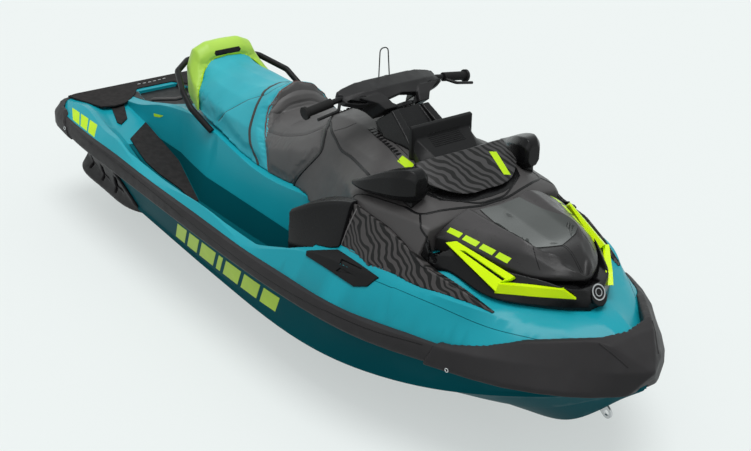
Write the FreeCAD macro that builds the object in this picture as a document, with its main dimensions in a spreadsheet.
"""Three-seat personal watercraft with a vee hull, built as an assembly of its real pieces.

Lengths are in millimetres. X runs forward, Y to port and Z up. Every piece is drawn at its height
above the keel, and its Placement lowers it by the draught, so that Z = 0 is the waterline and
X = 0 is amidships. Starboard is -Y.
"""
import FreeCAD, Part
import math
import os
import Sketcher
from FreeCAD import Placement, Rotation, Vector

os.makedirs("parts", exist_ok=True)
doc = FreeCAD.newDocument("Watercraft")


# The sheet of driving dimensions

sheet = doc.addObject("Spreadsheet::Sheet", "Sizes")
DIMENSIONS = [
    ("length_overall", 3451, "stern bumper to nose"),
    ("beam_overall", 1255, "over the rub rails"),
    ("draught", 280, "keel to waterline"),
    ("sheer_height", 440, "joint of hull and deck, above the keel"),
    ("rail_top", 482, "top edge of the rub rail"),
    ("rail_bottom", 405, "bottom edge of the rub rail"),
    ("rail_depth", 28, "how far the rail stands out of the hull"),
    ("stern_x", -1690, "rear face of the deck"),
    ("transom_x", -1600, "rear face of the hull, under the overhanging deck"),
    ("platform_height", 505, "top of the swim platform"),
    ("mat_thickness", 7, "foam traction mats"),
    ("tunnel_radius", 98, "jet tunnel in the hull"),
    ("pump_height", 128, "axis of the jet pump above the keel"),
    ("pump_bore", 80, "radius inside the pump"),
    ("pump_wall", 9, "wall of the pump"),
    ("impeller_radius", 78, "over the blade tips"),
    ("impeller_hub", 30, "hub radius"),
    ("impeller_length", 70, "hub length"),
    ("shaft_radius", 14, "drive shaft"),
    ("shaft_length", 465, "drive shaft, impeller to engine"),
    ("eye_hole", 11, "hole radius of the tow eyes"),
    ("nozzle_pivot_x", -1535, "yaw pivot of the steering nozzle"),
    ("gate_radius", 150, "inside of the reverse gate, about its hinge"),
    ("bar_span", 780, "handlebar over the grips"),
    ("bar_radius", 11, "handlebar tube"),
    ("grip_radius", 18, "rubber grip"),
    ("grip_length", 125, "rubber grip"),
    ("steering_tilt", 38, "column axis behind vertical, degrees"),
    ("steering_x", 395, "where the column axis leaves the console"),
    ("steering_height", 935, "same point above the keel"),
    ("seam", 6, "clearance round the storage lid"),
    ("bin_length", 280, "front storage bin inside"),
    ("bin_width", 320, "front storage bin inside"),
    ("bin_depth", 250, "front storage bin inside"),
    ("bin_wall", 5, "front storage bin"),
    ("engine_length", 620, "engine block"),
    ("engine_width", 380, "engine block"),
    ("engine_height", 330, "engine block"),
    ("ladder_width", 556, "boarding step, between its legs"),
    ("ladder_leg", 165, "boarding step, hinge to tread"),
    ("ladder_hinge", 218, "boarding step, hinge height"),
    ("ladder_radius", 11, "boarding step tube"),
    ("emblem_radius", 33, "blank disc on the nose"),
]
for row, (alias, value, note) in enumerate(DIMENSIONS, start=1):
    sheet.set(f"A{row}", note)
    sheet.set(f"B{row}", str(value))
    sheet.setAlias(f"B{row}", alias)
doc.recompute()


class Size:
    """A number together with the expression that binds it to the sheet."""

    def __init__(self, value, text):
        self.value = value
        self.text = text

    def __add__(self, other):
        other = as_size(other)
        return Size(self.value + other.value, f"({self.text} + {other.text})")

    def __sub__(self, other):
        other = as_size(other)
        return Size(self.value - other.value, f"({self.text} - {other.text})")

    def __mul__(self, other):
        other = as_size(other)
        return Size(self.value * other.value, f"({self.text} * {other.text})")

    def __truediv__(self, other):
        other = as_size(other)
        return Size(self.value / other.value, f"({self.text} / {other.text})")

    def __neg__(self):
        return Size(-self.value, f"(0 - {self.text})")

    __radd__ = __add__
    __rmul__ = __mul__


def as_size(number):
    return number if isinstance(number, Size) else Size(float(number), f"{float(number):.4f}")


def cell(alias):
    """A cell of the sheet, for a size that stays bound to it."""
    return Size(float(sheet.get(alias)), f"Sizes.{alias}")


def mm(alias):
    """A cell of the sheet as a plain number."""
    return float(sheet.get(alias))


def bind(item, name, size):
    """Sets a property from a size and ties it to the sheet."""
    size = as_size(size)
    item.setExpression(name, size.text)


# Helpers for pieces

pieces = []


def place(item, label, x=0.0, y=0.0, z=0.0, rotation=None):
    """Names a finished piece and lowers it from keel heights to the waterline."""
    item.Label = label
    item.Placement = Placement(Vector(0, 0, 0), rotation or Rotation())
    bind(item, "Placement.Base.x", x)
    bind(item, "Placement.Base.y", y)
    bind(item, "Placement.Base.z", as_size(z) - cell("draught"))
    pieces.append(item)
    return item


def freeform(label, shape):
    """A piece whose surface no sketch feature can give, such as a lofted shell."""
    item = doc.addObject("Part::Feature", label)
    item.Shape = shape
    return place(item, label)


def mirrored(shape):
    return shape.mirror(Vector(0, 0, 0), Vector(0, 1, 0))


def pair(label, shape):
    """A small starboard piece and its mirror image, as two solids of one node."""
    freeform(label, Part.makeCompound([shape, mirrored(shape)]))


def both_sides(label, shape):
    """A starboard shape and its mirror image to port, each in its own node."""
    freeform(f"{label}_starboard", shape)
    freeform(f"{label}_port", mirrored(shape))


def fair(table, x):
    """Height or breadth at station x of a line given by a few (x, value) knots, smoothly joined."""
    knots = sorted(table)
    if x <= knots[0][0]:
        return knots[0][1]
    for i in range(len(knots) - 1):
        (x0, v0), (x1, v1) = knots[i], knots[i + 1]
        if x <= x1:
            before = knots[i - 1] if i else knots[i]
            after = knots[i + 2] if i + 2 < len(knots) else knots[i + 1]
            slope0 = (v1 - before[1]) / (x1 - before[0])
            slope1 = (after[1] - v0) / (after[0] - x0)
            t = (x - x0) / (x1 - x0)
            span = x1 - x0
            return (
                v0 * (2 * t**3 - 3 * t**2 + 1)
                + slope0 * span * (t**3 - 2 * t**2 + t)
                + v1 * (3 * t**2 - 2 * t**3)
                + slope1 * span * (t**3 - t**2)
            )
    return knots[-1][1]


def closed(points):
    return Part.makePolygon([*points, points[0]])


def full_section(x, half):
    """A closed athwartships outline from its port half, listed from bottom to top."""
    port = [Vector(x, y, z) for y, z in half]
    starboard = [Vector(x, -y, z) for y, z in reversed(half) if y > 0.01]
    return closed(port + starboard)


def side_section(x, outline):
    """A closed athwartships outline on the starboard side: y is the distance outboard."""
    return closed([Vector(x, -y, z) for y, z in outline])


def loft(sections, ruled=False):
    solid = Part.makeLoft(sections, True, ruled)
    if solid.Volume < 0:
        solid.reverse()
    return solid


def prism_side(outline, y0, y1):
    """The outline (x, z), seen from the side, carried across from y0 to y1."""
    face = Part.Face(closed([Vector(x, y0, z) for x, z in outline]))
    return face.extrude(Vector(0, y1 - y0, 0))


def prism_top(outline, z0, z1):
    """The outline (x, y), seen from above, carried up from z0 to z1."""
    face = Part.Face(closed([Vector(x, y, z0) for x, y in outline]))
    return face.extrude(Vector(0, 0, z1 - z0))


def prism_front(outline, x0, x1):
    """The outline (y, z), seen from ahead, carried along from x0 to x1."""
    face = Part.Face(closed([Vector(x0, y, z) for y, z in outline]))
    return face.extrude(Vector(x1 - x0, 0, 0))


def rounded_path(points, radius):
    """A wire of straight runs joined by tangent arcs."""
    edges = []
    start = points[0]
    for before, corner, after in zip(points, points[1:], points[2:]):
        u = (before - corner).normalize()
        v = (after - corner).normalize()
        half_turn = (math.pi - u.getAngle(v)) / 2
        back = radius * math.tan(half_turn)
        first, last = corner + u * back, corner + v * back
        to_middle = (u + v).normalize()
        middle = corner + to_middle * (radius / math.cos(half_turn) - radius)
        edges.append(Part.LineSegment(start, first).toShape())
        edges.append(Part.Arc(first, middle, last).toShape())
        start = last
    edges.append(Part.LineSegment(start, points[-1]).toShape())
    return Part.Wire(edges)


def tube_along(wire, radius):
    """A round bar along a wire."""
    first = wire.Edges[0]
    start = first.valueAt(first.FirstParameter)
    heading = first.tangentAt(first.FirstParameter)
    ring = Part.Wire(Part.makeCircle(radius, start, heading))
    return wire.makePipeShell([ring], True, False, 2)


# Sketched pieces

def origin_plane(body, role):
    return next(f for f in body.Origin.OriginFeatures if f.Role == role)


def new_body(label):
    body = doc.addObject("PartDesign::Body", label)
    return body


def new_sketch(body, role, offset=0.0):
    sketch = body.newObject("Sketcher::SketchObject", f"{body.Name}_sketch")
    sketch.AttachmentSupport = (origin_plane(body, role), [""])
    sketch.MapMode = "FlatFace"
    if isinstance(offset, Size) or offset:
        bind(sketch, "AttachmentOffset.Base.z", offset)
    return sketch


def outline(sketch, points):
    """A closed outline whose corners are held by dimensions tied to the sheet."""
    corners = [(as_size(a), as_size(b)) for a, b in points]
    first = sketch.GeometryCount
    for (a, b), (c, d) in zip(corners, corners[1:] + corners[:1]):
        start, end = Vector(a.value, b.value, 0), Vector(c.value, d.value, 0)
        sketch.addGeometry(Part.LineSegment(start, end), False)
    count = len(corners)
    for i in range(count):
        sketch.addConstraint(
            Sketcher.Constraint("Coincident", first + i, 2, first + (i + 1) % count, 1)
        )
    for i, (a, b) in enumerate(corners):
        for kind, size, axis in (("DistanceX", a, -2), ("DistanceY", b, -1)):
            if abs(size.value) < 1e-9:
                rule = Sketcher.Constraint("PointOnObject", first + i, 1, axis)
                sketch.addConstraint(rule)
                continue
            rule = Sketcher.Constraint(kind, -1, 1, first + i, 1, size.value)
            number = sketch.addConstraint(rule)
            if "Sizes" in size.text:
                sketch.setExpression(f"Constraints[{number}]", size.text)
    return sketch


def circle(sketch, x, y, radius):
    """A circle whose centre and radius are tied to the sheet."""
    x, y, radius = as_size(x), as_size(y), as_size(radius)
    centre = Vector(x.value, y.value, 0)
    number = sketch.addGeometry(Part.Circle(centre, Vector(0, 0, 1), radius.value), False)
    for kind, size, axis in (("DistanceX", x, -2), ("DistanceY", y, -1)):
        if abs(size.value) < 1e-9:
            sketch.addConstraint(Sketcher.Constraint("PointOnObject", number, 3, axis))
            continue
        rule = sketch.addConstraint(Sketcher.Constraint(kind, -1, 1, number, 3, size.value))
        if "Sizes" in size.text:
            sketch.setExpression(f"Constraints[{rule}]", size.text)
    rule = sketch.addConstraint(Sketcher.Constraint("Radius", number, radius.value))
    if "Sizes" in radius.text:
        sketch.setExpression(f"Constraints[{rule}]", radius.text)
    return sketch


def pad(body, sketch, length, both_ways=False):
    feature = body.newObject("PartDesign::Pad", f"{body.Name}_pad")
    feature.Profile = sketch
    if both_ways:
        feature.Midplane = True
    bind(feature, "Length", length)
    body.Tip = feature
    return feature


def revolve(body, sketch, axis="H_Axis"):
    feature = body.newObject("PartDesign::Revolution", f"{body.Name}_turned")
    feature.Profile = sketch
    feature.ReferenceAxis = (sketch, [axis])
    feature.Angle = 360
    body.Tip = feature
    return feature


# The lines of the hull, as knots (station, half-breadth or height)

DRAWN_HALF_BEAM = 627.5
half_beam = mm("beam_overall") / 2
nose_x = mm("length_overall") / 2
stern_x = mm("stern_x")
transom_x = mm("transom_x")
sheer = mm("sheer_height")
BEAM_SHARE = half_beam / DRAWN_HALF_BEAM

RAIL_PLAN = [
    (-1710, 420), (-1695, 470), (-1675, 500), (-1640, 520), (-1589, 536), (-1417, 560), (-914, 590),
    (-499, 608), (-100, 622), (300, DRAWN_HALF_BEAM), (600, 617), (830, 588), (1030, 528), (1165, 478),
    (1300, 418), (1400, 360), (1500, 288), (1600, 196), (1680, 92), (nose_x, 6),
]
KEEL = [
    (-1600, 0), (500, 0), (800, 6), (1000, 24), (1200, 66), (1380, 125), (1520, 240), (1620, 340), (1690, 402),
]
CHINE_PLAN = [
    (-1600, 378), (-1200, 450), (-900, 480), (-600, 504), (-300, 527), (0, 546), (400, 560), (600, 550),
    (750, 526), (870, 492), (1000, 452), (1200, 378), (1380, 268), (1520, 168), (1620, 80), (1690, 14),
]
CHINE_HEIGHT = [
    (-1600, 214), (-600, 222), (600, 226), (750, 235), (870, 242), (1000, 254), (1200, 290), (1380, 325),
    (1520, 362), (1620, 392), (1690, 412),
]
TRANSOM_PLAN = [(-1600, 402), (-1540, 440), (-1480, 482), (-1400, 530), (-1300, 700)]


def rail_half(x):
    return BEAM_SHARE * fair(RAIL_PLAN, x)


def deck_half(x):
    """Half-breadth of the deck's lower edge, inside the rub rail."""
    return max(rail_half(x) - mm("rail_depth"), 10)


def hull_half(x):
    """Half-breadth of the hull at the sheer, with the corners of the transom taken off."""
    return min(deck_half(x), fair(TRANSOM_PLAN, x))


# Foot wells and the front bin: hollows that cut hull and deck alike

FOOTWELL = {
    # station: floor inner, floor outer, floor height, wall top, ridge breadth, ridge height
    -1560: (215, 330, 500, 400, 210, 530),
    -1263: (240, 396, 470, 452, 225, 575),
    -900: (262, 420, 396, 522, 228, 640),
    -590: (345, 398, 334, 545, 246, 622),
    -200: (345, 400, 330, 560, 272, 600),
    200: (345, 420, 336, 566, 288, 612),
    400: (350, 440, 400, 540, 330, 640),
    500: (360, 430, 500, 500, 355, 660),
}
WALL_TOP = 506
ABOVE = 900


def footwell_section(x, row):
    inner, outer, floor, wall_top, ridge_y, ridge_z = row
    return side_section(x, [
        (inner, floor), (outer, floor), (wall_top, WALL_TOP), (wall_top + 30, ABOVE), (ridge_y, ABOVE),
        (ridge_y, ridge_z),
    ])


footwell = loft([footwell_section(x, row) for x, row in sorted(FOOTWELL.items())], True)
bin_x0 = 965.0
bin_top = 690.0
wall = mm("bin_wall")
bin_length = mm("bin_length") + 2 * wall
bin_width = mm("bin_width") + 2 * wall
bin_corner = Vector(bin_x0 - wall, -bin_width / 2, bin_top - mm("bin_depth") - wall)
bin_hole = Part.makeBox(bin_length, bin_width, 400, bin_corner)
engine_x, engine_z, engine_gap = -710.0, 116.0, 6.0
engine_hole = Part.makeBox(
    mm("engine_length") + 2 * engine_gap, mm("engine_width") + 2 * engine_gap,
    mm("engine_height") + 2 * engine_gap,
    Vector(engine_x - engine_gap, -mm("engine_width") / 2 - engine_gap, engine_z - engine_gap),
)
hollows = [footwell, mirrored(footwell), bin_hole, engine_hole]

# Hull

HULL_STATIONS = [
    -1600, -1480, -1350, -1200, -900, -600, -300, 0, 400, 750, 1000, 1200, 1380, 1520, 1620, 1690,
]


def hull_section(x):
    keel = fair(KEEL, x)
    chine = BEAM_SHARE * fair(CHINE_PLAN, x)
    chine_z = fair(CHINE_HEIGHT, x)
    strake_z = (keel + chine_z) / 2
    return full_section(x, [
        (0.04 * chine, keel),
        (0.48 * chine, strake_z),
        (0.53 * chine, strake_z),
        (0.97 * chine, chine_z - 8),
        (1.02 * chine, chine_z - 6),
        (1.01 * chine, chine_z + 10),
        (hull_half(x), sheer),
    ])


def hull_side(x, z):
    """Half-breadth of the hull's side at a height between chine and sheer."""
    chine = BEAM_SHARE * fair(CHINE_PLAN, x) * 1.01
    chine_z = fair(CHINE_HEIGHT, x) + 10
    return chine + (hull_half(x) - chine) * (z - chine_z) / (sheer - chine_z)


hull_solid = loft([hull_section(x) for x in HULL_STATIONS])
pump_z = mm("pump_height")
tunnel_r = mm("tunnel_radius")
behind = transom_x - 20
tunnel_end = -1020.0
floor_end = -1240.0
tunnel = Part.makeCylinder(tunnel_r, tunnel_end - behind, Vector(behind, 0, pump_z), Vector(1, 0, 0))
tunnel_floor = prism_front(
    [(-tunnel_r, -20), (tunnel_r, -20), (tunnel_r, pump_z), (-tunnel_r, pump_z)], behind, floor_end
)
INTAKE_SIDE = [(-1150, -20), (-560, -20), (-560, 0), (-620, 22), (-1010, 190), (-1150, 190)]
intake_half = 80
intake = prism_side(INTAKE_SIDE, -intake_half, intake_half)
shaft_hole = Part.makeCylinder(mm("shaft_radius") + 4, 500, Vector(-1100, 0, pump_z), Vector(1, 0, 0))
recess_half, recess_top, recess_end = 260, 330, -1500
stern_recess = prism_front([
    (-recess_half, -20), (recess_half, -20), (recess_half, recess_top), (-recess_half, recess_top),
], behind, recess_end)
hull = hull_solid.cut(tunnel.fuse([tunnel_floor, intake, shaft_hole, stern_recess, *hollows]))
freeform("hull", hull)

# Deck

DECK_LINES = {
    -1690: [(452, 482), (440, 500), (425, 506), (200, 506), (0, 506)],
    -1560: [(514, 482), (452, 520), (400, 506), (205, 507), (0, 506)],
    -1400: [(535, 482), (458, 530), (385, 512), (208, 522), (0, 518)],
    -1150: [(550, 482), (505, 518), (440, 510), (225, 590), (0, 560)],
    -850: [(562, 482), (542, 502), (500, 505), (228, 640), (0, 600)],
    -400: [(582, 482), (562, 502), (535, 505), (262, 600), (0, 600)],
    0: [(596, 482), (578, 502), (555, 505), (272, 600), (0, 600)],
    250: [(600, 482), (580, 508), (540, 522), (285, 615), (0, 620)],
    450: [(594, 482), (545, 572), (480, 596), (320, 650), (0, 640)],
    600: [(590, 482), (525, 598), (470, 620), (380, 700), (0, 700)],
    820: [(562, 482), (490, 603), (468, 625), (350, 700), (0, 700)],
    980: [(512, 482), (460, 598), (435, 620), (320, 675), (0, 680)],
    1150: [(455, 482), (405, 570), (385, 618), (280, 640), (0, 650)],
    1270: [(402, 490), (350, 552), (313, 600), (200, 620), (0, 630)],
    1400: [(330, 486), (280, 530), (226, 574), (100, 605), (0, 615)],
    1520: [(234, 484), (168, 522), (126, 556), (44, 596), (0, 598)],
    1600: [(150, 486), (100, 526), (76, 544), (34, 566), (0, 568)],
    1650: [(100, 484), (60, 505), (44, 525), (20, 545), (0, 548)],
}


def deck_section(x, lines):
    return full_section(x, [(deck_half(x), sheer), *[(BEAM_SHARE * y, z) for y, z in lines]])


platform_z = mm("platform_height")
deck = loft([deck_section(x, lines) for x, lines in sorted(DECK_LINES.items())])
stern_tray = prism_top([
    (-1572, -105), (-1572, 105), (-1400, 158), (-1110, 168), (-1110, -168), (-1400, -158),
], platform_z - 13, ABOVE)
deck = deck.cut(stern_tray.fuse(hollows))
freeform("deck", deck)

# Mats: slabs that follow the floor of each foot well, and one over the swim platform

mat = mm("mat_thickness")
raised_footwell = footwell.copy()
raised_footwell.translate(Vector(0, 0, mat))
LONG_MAT = [
    (-1252, -243), (-1150, -380), (-1040, -398), (-954, -410), (-843, -404), (-712, -380), (-585, -376),
    (-590, -352), (-900, -268),
]
SMALL_MAT = [(-1493, -301), (-1469, -241), (-1327, -300), (-1284, -355), (-1310, -362)]


def on_floor(points):
    return footwell.common(prism_top(points, 300, 640)).cut(raised_footwell)


long_mat, small_mat = on_floor(LONG_MAT), on_floor(SMALL_MAT)
freeform("footwell_mats", Part.makeCompound([
    long_mat, small_mat, mirrored(long_mat), mirrored(small_mat)
]))

PLATFORM_MAT = [
    (-1697, -380), (-1686, -430), (-1600, -405), (-1463, -365), (-1440, -300), (-1450, -244), (-1475, -205), (-1530, -150),
    (-1600, -99),
]
mat_edge = [*PLATFORM_MAT, *[(x, -y) for x, y in reversed(PLATFORM_MAT)]]
platform_mat = prism_top(mat_edge, platform_z + 1, platform_z + 1 + mat).cut(deck)
freeform("platform_mat", platform_mat)

# Rub rails and bumpers

rail_low, rail_high = mm("rail_bottom"), mm("rail_top")


def rail_section(x):
    y = rail_half(x)
    root = deck_half(x)
    return side_section(x, [
        (root - 4, rail_low), (y - 8, rail_low), (y, rail_low + 12), (y, rail_high - 26), (y - 10, rail_high - 4),
        (root - 4, rail_high),
    ])


RAIL_STATIONS = [-1560, -1400, -900, -400, 100, 400, 650, 850, 1030, 1190]
rail = loft([rail_section(x) for x in RAIL_STATIONS])
solid_body = hull_solid.fuse(deck)

NOSE_LINES = {
    # station: bottom half-breadth, crease half-breadth and height, top edge half-breadth and height, middle
    1110: (502, 500, 478, 492, 486, 484),
    1209: (462, 460, 484, 440, 495, 500),
    1300: (425, 415, 488, 372, 515, 520),
    1400: (374, 350, 492, 296, 550, 560),
    1494: (306, 268, 492, 212, 570, 580),
    1570: (236, 200, 492, 142, 586, 592),
    1620: (176, 150, 492, 100, 574, 578),
    1670: (96, 98, 492, 58, 536, 540),
    1700: (34, 50, 492, 30, 510, 513),
    nose_x - 1: (6, 8, 490, 5, 494, 495),
}


def nose_section(x, row):
    bottom, crease, crease_z, top, top_z, middle_z = row
    return full_section(x, [(bottom, 398), (bottom + 5, 420), (crease, crease_z), (top, top_z), (0, middle_z)])


nose = loft([nose_section(x, row) for x, row in sorted(NOSE_LINES.items())], True)
slanted_end = prism_side([(1090, 380), (1125, 390), (1165, 486), (1165, 620), (1090, 620)], -700, 700)
tuck = prism_side([(1760, 498), (nose_x + 5, 492), (1674, 386), (1674, 380), (1760, 380)], -300, 300)
inner_nose = prism_top([
    (1090, 480), (1300, 330), (1400, 262), (1570, 104), (1590, 0), (1570, -104), (1400, -262), (1300, -330),
    (1090, -480),
], 380, 700)
nose = nose.cut(slanted_end.fuse([tuck, inner_nose])).cut(solid_body)
nose = max(nose.Solids, key=lambda solid: solid.Volume)
freeform("bow_bumper", nose)

STERN_PLAN = [
    (-1417, 560), (-1500, 549), (-1589, 536), (-1640, 520), (-1675, 500), (-1698, 470), (-1712, 420),
]


def stern_outline(inset, z):
    """The plan of the stern at one height, drawn in by an inset."""
    starboard = [Vector(x + (inset if x < -1600 else 0), inset - y, z) for x, y in STERN_PLAN]
    return closed(starboard + [Vector(v.x, -v.y, v.z) for v in reversed(starboard)])


bumper = loft([
    stern_outline(inset, z) for inset, z in ((8, 398), (-5, 410), (-5, 462), (10, 490), (16, platform_z - 0.5))
], True)
bumper_wall = 34
hollow = loft([stern_outline(bumper_wall, z) for z in (380, ABOVE)], True)
corner_cut = prism_side([(-1400, 392), (-1412, 392), (-1560, 530), (-1400, 530)], -700, 700)
bumper = bumper.cut(hollow).cut(corner_cut).cut(solid_body)
bumper = max(bumper.Solids, key=lambda solid: solid.Volume)
freeform("stern_bumper", bumper)
both_sides("rub_rail", rail.cut(solid_body).cut(nose).cut(bumper))

# Seats

REAR_SEAT = {
    # station: base, side, shoulder and upper shoulder as (half-breadth, height), then the height of the crown
    -1010: ((118, 720), (128, 790), (106, 840), (60, 854), 857),
    -965: ((158, 690), (152, 788), (120, 848), (68, 866), 870),
    -930: ((176, 682), (160, 786), (124, 844), (70, 860), 864),
    -880: ((190, 672), (176, 770), (132, 820), (80, 840), 846),
    -780: ((212, 655), (196, 735), (145, 792), (90, 818), 830),
    -600: ((230, 635), (206, 715), (150, 785), (90, 817), 829),
    -440: ((242, 606), (212, 712), (152, 796), (92, 838), 854),
    -350: ((248, 592), (215, 708), (152, 812), (88, 866), 889),
    -150: ((254, 578), (226, 714), (154, 812), (90, 868), 893),
}
FRONT_SEAT = {
    -355: ((248, 592), (215, 706), (152, 812), (88, 864), 886),
    -330: ((249, 590), (216, 704), (154, 800), (90, 846), 866),
    -306: ((250, 587), (218, 702), (158, 764), (92, 782), 786),
    -180: ((254, 580), (226, 712), (160, 766), (92, 782), 786),
    -60: ((255, 580), (225, 730), (160, 800), (92, 826), 832),
    60: ((254, 590), (216, 745), (150, 850), (92, 890), 898),
    170: ((250, 604), (196, 770), (148, 868), (92, 906), 914),
}
SEAT_ARCH = [(-480, 1000), (-352, 1000), (-342, 868), (-332, 800), (-288, 736), (-246, 680), (-160, 540)]
SEAT_NOSE = [(-60, 540), (-30, 590), (128, 776), (62, 860), (35, 900), (40, 1000)]
CAP = {
    # station: the same five heights of the moulded cap over the tail of the seat
    -1024: ((110, 730), (120, 800), (102, 856), (60, 868), 871),
    -1000: ((140, 704), (148, 800), (124, 870), (70, 888), 891),
    -965: ((166, 690), (168, 812), (140, 894), (80, 918), 921),
    -930: ((182, 681), (178, 812), (142, 896), (85, 923), 926),
    -895: ((192, 673), (188, 794), (142, 866), (88, 891), 896),
    -850: ((204, 665), (196, 768), (144, 818), (92, 840), 850),
    -790: ((216, 654), (206, 738), (152, 800), (95, 828), 841),
}
CAP_FRONT = [
    (-893, 1000), (-893, 846), (-879, 825), (-857, 797), (-837, 767), (-816, 735), (-808, 690), (-808, 600),
]


def seat_loft(table, ruled=False):
    return loft([full_section(x, [*row[:-1], (0, row[-1])]) for x, row in sorted(table.items())], ruled)


behind_arch = prism_side([(-1100, 540), (-1100, 1000), *SEAT_ARCH[1:]], -400, 400)
behind_nose = prism_side([(-1100, 540), (-1100, 1000), *reversed(SEAT_NOSE)], -400, 400)
rear_seat = seat_loft(REAR_SEAT).common(behind_arch).cut(deck)
front_seat = seat_loft(FRONT_SEAT, True).cut(behind_arch).common(behind_nose).cut(deck)
ahead_of_cap = prism_side([*CAP_FRONT, (-700, 600), (-700, 1000)], -400, 400)
cap = seat_loft(CAP).cut(ahead_of_cap).cut(rear_seat).cut(deck)
cap = max(cap.Solids, key=lambda solid: solid.Volume)
freeform("passenger_seat", max(rear_seat.Solids, key=lambda solid: solid.Volume))
freeform("seat_cap", cap)
freeform("driver_seat", max(front_seat.Solids, key=lambda solid: solid.Volume))

# Console between seat and hood

CONSOLE = {
    # station: half outline of the section, from the deck up to the middle
    -64: [(252, 572), (238, 640), (172, 800), (92, 838), (0, 846)],
    60: [(270, 590), (226, 745), (162, 846), (94, 888), (0, 898)],
    152: [(292, 600), (224, 765), (176, 866), (98, 906), (0, 916)],
    300: [(335, 600), (262, 775), (198, 868), (110, 910), (0, 920)],
    450: [(400, 600), (316, 785), (222, 870), (120, 906), (0, 914)],
    620: [(440, 600), (378, 790), (250, 872), (130, 896), (0, 902)],
    780: [(440, 600), (345, 790), (240, 842), (120, 856), (0, 860)],
    870: [(425, 600), (328, 790), (215, 818), (110, 825), (0, 827)],
    924: [(415, 600), (310, 775), (200, 790), (100, 795), (0, 797)],
}


def lofted_top(table, ruled=False):
    return loft([full_section(x, half) for x, half in sorted(table.items())], ruled)


# Steering column: everything on it is drawn along the tilted axis

tilt = mm("steering_tilt")
STEERING_TURN = Rotation(Vector(0, 1, 0), -tilt)
steering_foot = Vector(mm("steering_x"), 0, mm("steering_height"))


def on_column(shape):
    """Moves a shape drawn along +Z onto the steering axis."""
    placed = shape.copy()
    placed.Placement = Placement(steering_foot, STEERING_TURN)
    return placed


boot_top = 55.0
BOOT = {
    # height along the column: fore and aft reach, half-breadth at the back and at the front
    -120: (-60, 95, 85, 75),
    -10: (-58, 74, 98, 70),
    boot_top: (-52, 56, 90, 60),
}
boot = loft([
    closed([Vector(px, y, z) for px, y in ((aft, -wide), (fore, -narrow), (fore, narrow), (aft, wide))])
    for z, (aft, fore, wide, narrow) in sorted(BOOT.items())
], True)
COLUMN_ARM = {
    # height along the column: fore and aft reach, inner and outer half-breadth
    -135: (14, 128, 66, 122),
    -40: (-6, 104, 66, 114),
    50: (-34, 70, 56, 102),
}
arm = loft([
    closed([Vector(px, y, z) for px, y in ((aft, inner), (fore, inner), (fore, outer - 12), (aft, outer))])
    for z, (aft, fore, inner, outer) in sorted(COLUMN_ARM.items())
], True)
boot = on_column(boot.fuse([arm, mirrored(arm)]))
console = lofted_top(CONSOLE).cut(behind_nose).cut(deck)
console = max(console.Solids, key=lambda solid: solid.Volume)
freeform("console", console)
boot = max(boot.cut(console).Solids, key=lambda solid: solid.Volume)
freeform("column_boot", boot)

# Side panels with the wave stripes

PANEL = {
    # station: lower inner, lower outer, upper outer, upper inner corner
    608: [(440, 600), (466, 612), (402, 785), (380, 775)],
    780: [(455, 600), (482, 612), (388, 752), (365, 742)],
    900: [(430, 596), (458, 608), (380, 712), (350, 700)],
    1020: [(400, 590), (432, 604), (385, 682), (345, 670)],
    1150: [(360, 580), (386, 598), (350, 650), (320, 642)],
    1268: [(302, 580), (312, 596), (311, 612), (296, 604)],
}
panel = loft([side_section(x, row) for x, row in sorted(PANEL.items())], True).cut(deck).cut(console)
both_sides("side_panel", panel)

# Hood, the lid of the front storage

HOOD = {
    # station: lower edge, side edge, ridge, and the lip, bottom and middle of the dished insert
    930: [(290, 700), (292, 750), (196, 806), (146, 822), (116, 810), (0, 804)],
    1022: [(266, 698), (268, 757), (186, 802), (142, 816), (114, 798), (0, 786)],
    1120: [(234, 696), (236, 741), (166, 790), (132, 808), (106, 784), (0, 773)],
    1228: [(194, 694), (196, 721), (146, 770), (116, 794), (98, 772), (0, 764)],
    1262: [(174, 693), (176, 714), (130, 758), (98, 776), (84, 772), (0, 770)],
    1325: [(121, 692), (123, 710), (92, 732), (62, 743), (44, 746), (0, 748)],
    1398: [(18, 690), (15, 703), (11, 708), (8, 710), (5, 711), (0, 712)],
}
HOOD_INNER = {
    936: [(270, 680), (272, 734), (180, 790), (136, 804), (112, 794), (0, 788)],
    1022: [(248, 680), (250, 742), (172, 786), (132, 798), (108, 782), (0, 770)],
    1120: [(218, 680), (220, 724), (154, 772), (122, 790), (100, 768), (0, 757)],
    1228: [(176, 680), (178, 704), (134, 752), (106, 776), (90, 756), (0, 748)],
    1300: [(126, 680), (128, 700), (96, 722), (68, 730), (50, 732), (0, 734)],
}
seam = mm("seam")
freeform("hood", lofted_top(HOOD).cut(lofted_top(HOOD_INNER)))


def spread(table, gap):
    """The same lines moved outwards by a gap, with the foot of each section taken lower."""
    return {
        x: [(y + gap if y else 0, z - 2 * gap if i == 0 else z + gap) for i, (y, z) in enumerate(half)]
        for x, half in table.items()
    }


hood_room = lofted_top(spread(HOOD, seam + 1)).fuse(
    Part.makeCylinder(34, 90, Vector(1385, -45, bin_top + 10), Vector(0, 1, 0))
)

tub = Part.makeBox(bin_length, bin_width, mm("bin_depth") + wall, bin_corner).cut(Part.makeBox(
    mm("bin_length"), mm("bin_width"), mm("bin_depth") + 10, bin_corner + Vector(wall, wall, wall)
))
freeform("storage_bin", tub)

# Headlight housing and its lime trim

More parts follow.
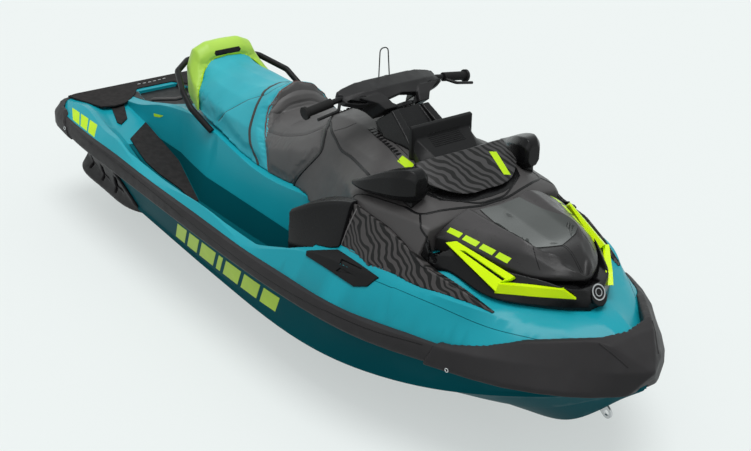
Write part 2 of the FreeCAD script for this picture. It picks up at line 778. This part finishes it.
HOUSING = {
    # station: foot, lower edge, crease under the trim, upper edge beside the hood, ledge under the hood
    925: [(345, 600), (348, 690), (328, 738), (308, 744), (290, 684), (0, 684)],
    1035: [(305, 600), (322, 672), (302, 722), (274, 750), (264, 684), (0, 684)],
    1120: [(272, 600), (306, 655), (280, 705), (246, 738), (236, 684), (0, 684)],
    1227: [(235, 600), (280, 636), (258, 668), (210, 716), (200, 684), (0, 684)],
    1339: [(150, 600), (180, 624), (174, 656), (140, 704), (122, 684), (0, 682)],
    1400: [(90, 600), (112, 618), (112, 654), (98, 690), (80, 684), (0, 680)],
    1425: [(60, 600), (78, 618), (74, 652), (60, 682), (40, 680), (0, 680)],
    1452: [(34, 605), (40, 620), (36, 652), (30, 668), (20, 670), (0, 672)],
}
emblem_x, emblem_z, emblem_tilt, emblem_thick = 1447.0, 650.0, 32.0, 10.0
emblem_way = Vector(math.cos(math.radians(emblem_tilt)), 0, math.sin(math.radians(emblem_tilt)))
emblem_seat = Part.makeCylinder(
    mm("emblem_radius") + 1, 60, Vector(emblem_x, 0, emblem_z) + emblem_way * 1, emblem_way
)
housing = lofted_top(HOUSING).cut(deck.fuse([bin_hole, console, hood_room, emblem_seat, panel, mirrored(panel)]))
BOOMERANG = [
    # the rear arrow of the trim, as points on the slanted face of the housing
    (1000, -296, 752), (1028, -271, 762), (1261, -210, 706), (1255, -222, 698), (1234, -247, 684),
    (1239, -272, 658),
]
SLOT = [(1055, -279, 741), (1072, -270, 742), (1240, -232, 694), (1236, -241, 688)]
STRIP = [(1230, -254, 688), (1400, -117, 691), (1419, -73, 659), (1330, -178, 656), (1236, -278, 656)]


def slab(points, way, depth, back):
    """An outline near a plane square to a direction, given a depth along it."""
    corners = [Vector(*point) for point in points]
    level = sum(corner.dot(way) for corner in corners) / len(corners) - back
    flat = [corner + way * (level - corner.dot(way)) for corner in corners]
    return Part.Face(closed(flat)).extrude(way * depth)


rear_way = Vector(0.33, -0.65, 0.68).normalize()
front_way = Vector(0.66, -0.70, 0.1).normalize()
trim = slab(BOOMERANG, rear_way, 24, 14).cut(slab(SLOT, rear_way, 80, 30))
trim = trim.fuse(slab(STRIP, front_way, 24, 14)).cut(deck.fuse(hood_room))
trim = max(trim.Solids, key=lambda solid: solid.Volume)
pair("headlight_trims", trim)
trim_room = trim.fuse([slab(BOOMERANG, rear_way, 90, 10), slab(STRIP, front_way, 90, 10)])
housing = housing.cut(trim_room.fuse(mirrored(trim_room)))
freeform("headlight_housing", max(housing.Solids, key=lambda solid: solid.Volume))

emblem = new_body("nose_emblem")
emblem_face = circle(new_sketch(emblem, "YZ_Plane"), 0, 0, cell("emblem_radius"))
pad(emblem, emblem_face, emblem_thick)
place(
    emblem, "nose_emblem", emblem_x + 1.2 * emblem_way.x, 0, emblem_z + 1.2 * emblem_way.z,
    Rotation(Vector(0, 1, 0), -emblem_tilt),
)

# Visor, gauge pod and mirrors

VISOR = {
    # distance from the middle: outline of the plate as (x, height)
    0: [(864, 838), (878, 842), (742, 948), (724, 940)],
    110: [(858, 842), (872, 846), (736, 946), (718, 938)],
    168: [(826, 858), (840, 862), (726, 942), (710, 934)],
    213: [(786, 874), (799, 879), (716, 934), (702, 926)],
}
visor_at = [-213, -168, -110, 0, 110, 168, 213]
visor = loft([closed([Vector(x, y, z) for x, z in VISOR[abs(y)]]) for y in visor_at])
freeform("visor", visor.cut(console))

POD = {
    596: [(146, 880), (146, 985), (146, 1024), (0, 1024)],
    612: [(146, 880), (146, 980), (146, 1018), (0, 1018)],
    618: [(140, 870), (140, 940), (128, 972), (0, 972)],
    700: [(170, 850), (160, 900), (100, 925), (0, 925)],
    735: [(150, 840), (140, 870), (90, 885), (0, 885)],
}
freeform("gauge_pod", lofted_top(POD, True).cut(console).cut(visor))

MIRROR = {
    # station: inner and outer reach, bottom and top, from the broad glass end to the pointed tip
    828: (246, 300, 852, 930), 812: (234, 314, 840, 950), 790: (232, 330, 834, 954), 730: (250, 354, 828, 938),
    660: (288, 370, 826, 906), 590: (330, 378, 828, 868), 552: (350, 374, 834, 850),
}


def mirror_section(x, row):
    inner, outer, low, high = row
    cut = 0.22
    dy, dz = cut * (outer - inner), cut * (high - low)
    return side_section(x, [
        (inner + dy, low), (outer - dy, low), (outer, low + dz), (outer, high - dz), (outer - dy, high),
        (inner + dy, high), (inner, high - dz), (inner, low + dz),
    ])


mirror = loft([mirror_section(x, row) for x, row in sorted(MIRROR.items())])
mirror_foot = loft([side_section(x, [(240, 790), (300, 780), (296, 850), (246, 856)]) for x in (752, 806)])
both_sides("mirror", mirror.fuse(mirror_foot).cut(console))

# Speakers and vents at the front of the foot wells

speaker = loft([
    side_section(345, [(395, 480), (505, 500), (514, 530), (506, 676), (495, 688), (400, 695)]),
    side_section(430, [(388, 510), (505, 516), (514, 532), (484, 718), (472, 736), (392, 742)]),
    side_section(520, [(380, 560), (486, 566), (500, 582), (452, 758), (440, 772), (382, 776)]),
    side_section(609, [(380, 620), (462, 622), (470, 630), (424, 780), (416, 792), (385, 793)]),
]).cut(deck).cut(panel).cut(console)
speaker = max(speaker.Solids, key=lambda solid: solid.Volume)
pair("speakers", speaker)

VENT = [(506, -533, 586), (513, -544, 574), (779, -552, 591), (832, -532, 608), (859, -497, 639), (617, -478, 625)]
VENT_SLOTS = [
    [(671, -507, 624), (778, -502, 634), (786, -519, 628), (682, -528, 618)],
    [(692, -536, 614), (786, -529, 616), (776, -543, 604), (680, -548, 600)],
]
vent_way = Vector(0, -0.6, 0.8)
under_vent = deck.common(Part.makeBox(420, 140, 180, Vector(470, -590, 500)))
vent = under_vent.translated(vent_way * 6).common(slab(VENT, vent_way, 140, 70)).cut(deck)
for slot in VENT_SLOTS:
    vent = vent.cut(slab(slot, vent_way, 60, 30))
vent = vent.cut(panel).cut(console).cut(speaker)
vent = max(vent.Solids, key=lambda solid: solid.Volume)
pair("side_vents", vent)

# Handlebar, on a forked riser above the boot

riser_foot = boot_top + 6
riser_plate = Part.makeCylinder(62, 14, Vector(0, 0, riser_foot))
riser_arm = loft([
    closed([Vector(px, y, riser_foot + 4) for px, y in ((-50, 30), (50, 30), (50, 62), (-50, 86))]),
    closed([Vector(px, y, riser_foot + 30) for px, y in ((-40, 60), (44, 60), (44, 105), (-40, 112))]),
    closed([Vector(px, y, riser_foot + 76) for px, y in ((-26, 160), (34, 160), (34, 226), (-26, 226))]),
], True)
bar_x, bar_z, bar_sweep, bar_straight = 285.0, 1062.0, 34.0, 150.0
half_span = mm("bar_span") / 2
bar_path = rounded_path([
    Vector(bar_x, -half_span, bar_z - bar_sweep), Vector(bar_x, -bar_straight, bar_z),
    Vector(bar_x, bar_straight, bar_z), Vector(bar_x, half_span, bar_z - bar_sweep),
], 90)
handlebar = tube_along(bar_path, mm("bar_radius"))
freeform("handlebar", handlebar)
riser = on_column(riser_plate.fuse([riser_arm, mirrored(riser_arm)])).cut(handlebar)

COVER = {
    # distance from the middle: rear, front, bottom, top
    0: (252, 372, 1040, 1098), 100: (250, 372, 1022, 1096), 150: (247, 360, 1016, 1092),
    200: (246, 344, 1020, 1082), 234: (250, 326, 1028, 1072),
}


def cover_section(y, row):
    rear, front, low, high = row
    return closed([Vector(x, y, z) for x, z in (
        (rear, low + 12), (rear + 14, low), (front - 22, low), (front, low + 20), (front - 34, high - 14),
        (rear + 10, high),
    )])


cover_at = [-234, -200, -150, -100, 0, 100, 150, 200, 234]
cover = loft([cover_section(y, COVER[abs(y)]) for y in cover_at], True)
side_shell = loft([
    closed([Vector(px, y, z) for px, y in ((aft, inner), (fore, inner), (fore, outer), (aft, outer))])
    for z, aft, fore, inner, outer in (
        (riser_foot, -44, 64, 58, 106), (riser_foot + 30, -44, 60, 66, 126), (riser_foot + 70, -36, 48, 92, 190)
    )
], True)
cover = cover.fuse(on_column(side_shell.fuse(mirrored(side_shell))))
cover = max(cover.cut(handlebar).cut(riser).Solids, key=lambda solid: solid.Volume)
freeform("steering_riser", riser)
freeform("handlebar_cover", cover)

slope = math.degrees(math.atan2(bar_sweep, half_span - bar_straight))
grip_run = mm("grip_length") - 8
for side, name in ((-1, "starboard"), (1, "port")):
    grip = new_body(f"grip_{name}")
    r, length, bore = cell("grip_radius"), cell("grip_length"), cell("bar_radius")
    revolve(grip, outline(new_sketch(grip, "XZ_Plane"), [
        (0, bore), (0, r), (length - 12, r), (length - 12, r + 7), (length, r + 7), (length, 0),
        (length - 8, 0), (length - 8, bore),
    ]))
    inboard = half_span - grip_run * math.cos(math.radians(slope))
    drop = bar_sweep - grip_run * math.sin(math.radians(slope))
    turn = Rotation(Vector(1, 0, 0), -side * slope).multiply(Rotation(Vector(0, 0, 1), side * 90))
    place(grip, f"grip_{name}", bar_x, side * inboard, bar_z - drop, turn)
lever = rounded_path([Vector(322, -262, 1046), Vector(352, -288, 1036), Vector(346, -378, 1018)], 22)
pair("levers", tube_along(lever, 6).cut(cover))

# Wire loop that stands on the handlebar cover

loop_path = rounded_path([
    Vector(262, -32, 1088), Vector(256, -24, 1206), Vector(256, 14, 1206), Vector(262, 20, 1088),
], 17)
freeform("wire_loop", tube_along(loop_path, 2.4).cut(cover))

# Grab handle that wraps round the rear seat, and the bar across the stern tray

HANDLE_SIDE = [
    Vector(-640, -244, 624), Vector(-736, -290, 712), Vector(-826, -278, 762), Vector(-970, -218, 803),
    Vector(-1048, -120, 818),
]
port_half = [Vector(v.x, -v.y, v.z) for v in reversed(HANDLE_SIDE)]
handle = tube_along(rounded_path([*HANDLE_SIDE, *port_half], 40), 14)
handle = handle.cut(rear_seat).cut(deck).cut(cap)
freeform("grab_handle", max(handle.Solids, key=lambda solid: solid.Volume))
bar_feet = [Vector(-1415, -128, 488), Vector(-1392, -122, 522), Vector(-1330, -30, 524)]
bar_port = [Vector(v.x, -v.y, v.z) for v in reversed(bar_feet)]
freeform("stern_bar", tube_along(rounded_path([*bar_feet, *bar_port], 14), 9).cut(deck))

# Sponsons: moulded fins on the hull's sides, each with three hooked pockets

SPONSON = {
    # station: outer edge of the fin, height of the upper edge
    -1560: (434, 318), -1467: (474, 350), -1200: (496, 372), -992: (504, 372), -930: (492, 368), -880: (470, 366),
}


def sponson_section(x, row):
    edge, top = row
    return side_section(x, [
        (hull_side(x, 235) - 70, 206), (edge, 194), (edge + 3, 207), (hull_side(x, 250) + 14, 250),
        (hull_side(x, top) + 13, top), (hull_side(x, top) - 30, top),
    ])


sponson = loft([sponson_section(x, row) for x, row in sorted(SPONSON.items())])
fin_front = prism_side([(-1050, 400), (-1030, 372), (-868, 190), (-700, 190), (-700, 400)], -700, 0)
sponson = sponson.cut(hull_solid).cut(fin_front)
for foot_x in (-1440, -1272, -1112):
    hook = prism_side([
        (foot_x, 226), (foot_x + 26, 226), (foot_x + 26, 262), (foot_x + 112, 262), (foot_x + 112, 282),
        (foot_x + 62, 282), (foot_x + 96, 336), (foot_x + 56, 336), (foot_x, 262),
    ], -700, 0)
    sponson = sponson.cut(hook)
pair("sponsons", max(sponson.Solids, key=lambda solid: solid.Volume))

# Jet pump: a tapered barrel with side plates that carry the reverse gate

pump_x = -1350.0
pivot_x = mm("nozzle_pivot_x")
pump = new_body("jet_pump")
bore, thick = cell("pump_bore"), cell("pump_wall")
revolve(pump, outline(new_sketch(pump, "XZ_Plane"), [
    (-200, 42), (-200, 50), (-130, 50), (-70, bore + thick), (190, bore + thick), (190, bore), (-70, bore),
    (-130, 42),
]))
pivot = pivot_x - pump_x
for side in (-1, 1):
    plate = new_sketch(pump, "XZ_Plane", 89 * side)
    outline(plate, [(pivot - 20, -18), (-20, -28), (-20, 28), (pivot - 20, 18)])
    pad(pump, plate, 6, True)
    pad(pump, circle(new_sketch(pump, "XZ_Plane", 96.5 * side), pivot, 0, 9), 21, True)
    pad(pump, circle(new_sketch(pump, "XY_Plane", 58 * side), pivot, 0, 8), 20, True)
place(pump, "jet_pump", pump_x, 0, cell("pump_height"))

BLADES, BLADE_STEPS, BLADE_SWEEP = 4, 5, 62.0
hub_length, hub_radius = mm("impeller_length"), mm("impeller_hub")
tip_radius = mm("impeller_radius")


def blade_section(step):
    """A thin strip of the blade from hub to tip, turned about the shaft as it goes aft."""
    share = step / (BLADE_STEPS - 1)
    turn = math.radians(BLADE_SWEEP * share)
    along = 5 + (hub_length - 10) * share
    lean = 0.045
    corners = ((16, turn - lean * 2), (tip_radius, turn - lean), (tip_radius, turn + lean), (16, turn + lean * 2))
    return closed([Vector(along, r * math.cos(a), r * math.sin(a)) for r, a in corners])


blade = loft([blade_section(step) for step in range(BLADE_STEPS)])
hub = Part.makeCone(hub_radius, 0.8 * hub_radius, hub_length, Vector(0, 0, 0), Vector(1, 0, 0))
rotor = hub.fuse([
    blade.rotated(Vector(0, 0, 0), Vector(1, 0, 0), 360 * number / BLADES) for number in range(BLADES)
])
impeller = doc.addObject("Part::Feature", "impeller")
impeller.Shape = rotor
place(impeller, "impeller", -1260, 0, cell("pump_height"))

shaft = doc.addObject("Part::Cylinder", "drive_shaft")
bind(shaft, "Radius", cell("shaft_radius"))
bind(shaft, "Height", cell("shaft_length"))
place(shaft, "drive_shaft", -1190, 0, cell("pump_height"), Rotation(Vector(0, 1, 0), 90))

nozzle = new_body("steering_nozzle")
revolve(nozzle, outline(new_sketch(nozzle, "XZ_Plane"), [
    (-100, 44), (-100, 52), (-30, 74), (18, 78), (18, 71), (-30, 67),
]))
place(nozzle, "steering_nozzle", cell("nozzle_pivot_x"), 0, cell("pump_height"))

# Reverse gate: a curved shield on two arms, drawn about its hinge

gate_r, gate_half, gate_wall = mm("gate_radius"), 107.0, 7.0
gate_from, gate_to = 40, 98
hinge_boss, hinge_bore = 24, 9.4


def arc_band(inner, outer, first, last):
    """A band of a ring in the XZ plane, between two angles measured up from -X."""
    def point(radius, angle):
        a = math.radians(angle)
        return Vector(-radius * math.cos(a), 0, radius * math.sin(a))

    middle = (first + last) / 2
    return Part.Face(Part.Wire([
        Part.Arc(point(outer, first), point(outer, middle), point(outer, last)).toShape(),
        Part.makeLine(point(outer, last), point(inner, last)),
        Part.Arc(point(inner, last), point(inner, middle), point(inner, first)).toShape(),
        Part.makeLine(point(inner, first), point(outer, first)),
    ]))


band = arc_band(gate_r, gate_r + gate_wall, gate_from, gate_to)
shield = band.extrude(Vector(0, 2 * gate_half, 0)).translated(Vector(0, -gate_half, 0))
cheek = arc_band(12, gate_r + gate_wall, gate_from, gate_to).extrude(Vector(0, gate_wall, 0))
cheek = cheek.fuse(Part.makeCylinder(hinge_boss, gate_wall, Vector(0, 0, 0), Vector(0, 1, 0)))
cheek = cheek.translated(Vector(0, gate_half - gate_wall, 0))
hinge_hole = Part.makeCylinder(hinge_bore, 2 * gate_half + 20, Vector(0, -gate_half - 10, 0), Vector(0, 1, 0))
gate = doc.addObject("Part::Feature", "reverse_gate")
gate.Shape = shield.fuse([cheek, mirrored(cheek)]).cut(hinge_hole)
place(gate, "reverse_gate", cell("nozzle_pivot_x"), 0, cell("pump_height"))

# Ride plate under the pump, and the grate over the intake

plate_length, plate_width, plate_thick = 400, 190, 12
ride_plate = doc.addObject("Part::Box", "ride_plate")
bind(ride_plate, "Length", plate_length)
bind(ride_plate, "Width", plate_width)
bind(ride_plate, "Height", plate_thick)
place(ride_plate, "ride_plate", -1650, -plate_width / 2, 0)

grate_x0, grate_x1, bar_width, bar_deep = -1150, -640, 9, 14
grate = Part.makeBox(18, 2 * intake_half, bar_deep, Vector(grate_x1 - 18, -intake_half, 2))
grate = grate.fuse([
    Part.makeBox(grate_x1 - grate_x0, bar_width, bar_deep, Vector(grate_x0, y - bar_width / 2, 2))
    for y in (-45, -15, 15, 45)
] + [Part.makeBox(16, 2 * intake_half, bar_deep, Vector(grate_x0, -intake_half, 2))])
freeform("intake_grate", grate)

# Engine

engine = doc.addObject("Part::Box", "engine")
bind(engine, "Length", cell("engine_length"))
bind(engine, "Width", cell("engine_width"))
bind(engine, "Height", cell("engine_height"))
place(engine, "engine", engine_x, -cell("engine_width") / 2, engine_z)

# Boarding step: a tube hinged at the transom, held up by a spring

leg_y = mm("ladder_width") / 2
hinge_z = mm("ladder_hinge")
step_x = transom_x - 16
tread_z = hinge_z + mm("ladder_leg")
ladder = tube_along(rounded_path([
    Vector(step_x, -leg_y, hinge_z), Vector(step_x, -leg_y, tread_z), Vector(step_x, leg_y, tread_z),
    Vector(step_x, leg_y, hinge_z),
], 40), mm("ladder_radius"))
step_eyes = [
    Part.makeCylinder(15, 20, Vector(step_x, side * leg_y - 10, hinge_z), Vector(0, 1, 0)) for side in (-1, 1)
]
pin_hole = Part.makeCylinder(6.3, 700, Vector(step_x, -350, hinge_z), Vector(0, 1, 0))
freeform("boarding_step", ladder.fuse(step_eyes).cut(pin_hole))

lug = Part.makeBox(30, 10, 34, Vector(transom_x - 28, -leg_y - 22, hinge_z - 17))
pin = Part.makeCylinder(6, 28, Vector(step_x, -leg_y - 20, hinge_z), Vector(0, 1, 0))
pair("step_brackets", lug.fuse(pin).cut(hull))

# Bow eye and stern eyes

EYE_THICK, EYE_REACH, EYE_HALF, EYE_CENTRE = 8, 40, 22, 18


def tow_eye(x, y, z, turn):
    """A plate with a round hole, standing out of the hull from its root at the origin."""
    top, bottom = Vector(EYE_CENTRE, 0, EYE_HALF), Vector(EYE_CENTRE, 0, -EYE_HALF)
    face = Part.Face(Part.Wire([
        Part.makeLine(Vector(-14, 0, -EYE_HALF), bottom),
        Part.Arc(bottom, Vector(EYE_REACH, 0, 0), top).toShape(),
        Part.makeLine(top, Vector(-14, 0, EYE_HALF)),
        Part.makeLine(Vector(-14, 0, EYE_HALF), Vector(-14, 0, -EYE_HALF)),
    ]))
    hole = Part.makeCylinder(mm("eye_hole"), 40, Vector(EYE_CENTRE, -20, 0), Vector(0, 1, 0))
    eye = face.extrude(Vector(0, EYE_THICK, 0)).translated(Vector(0, -EYE_THICK / 2, 0)).cut(hole)
    eye.Placement = Placement(Vector(x, y, z), Rotation(Vector(0, 1, 0), turn))
    return eye


freeform("bow_eye", tow_eye(1532, 0, 252, 35).cut(hull))
pair("stern_eyes", tow_eye(transom_x + 6, -350, 330, 180).cut(hull))

# Check and export

doc.recompute()
for item in doc.Objects:
    if {"Invalid", "Error"} & set(item.State):
        raise RuntimeError(f"{item.Label} failed: {item.State}")
for item in pieces:
    shape = item.Shape
    if shape.isNull() or not shape.isValid() or not shape.Solids:
        raise RuntimeError(f"{item.Label} has no valid solid")
    shape.exportStep(f"parts/{item.Label}.step")
    print(f"{item.Label:24s} solids {len(shape.Solids)} volume {shape.Volume / 1e6:8.3f} litres")
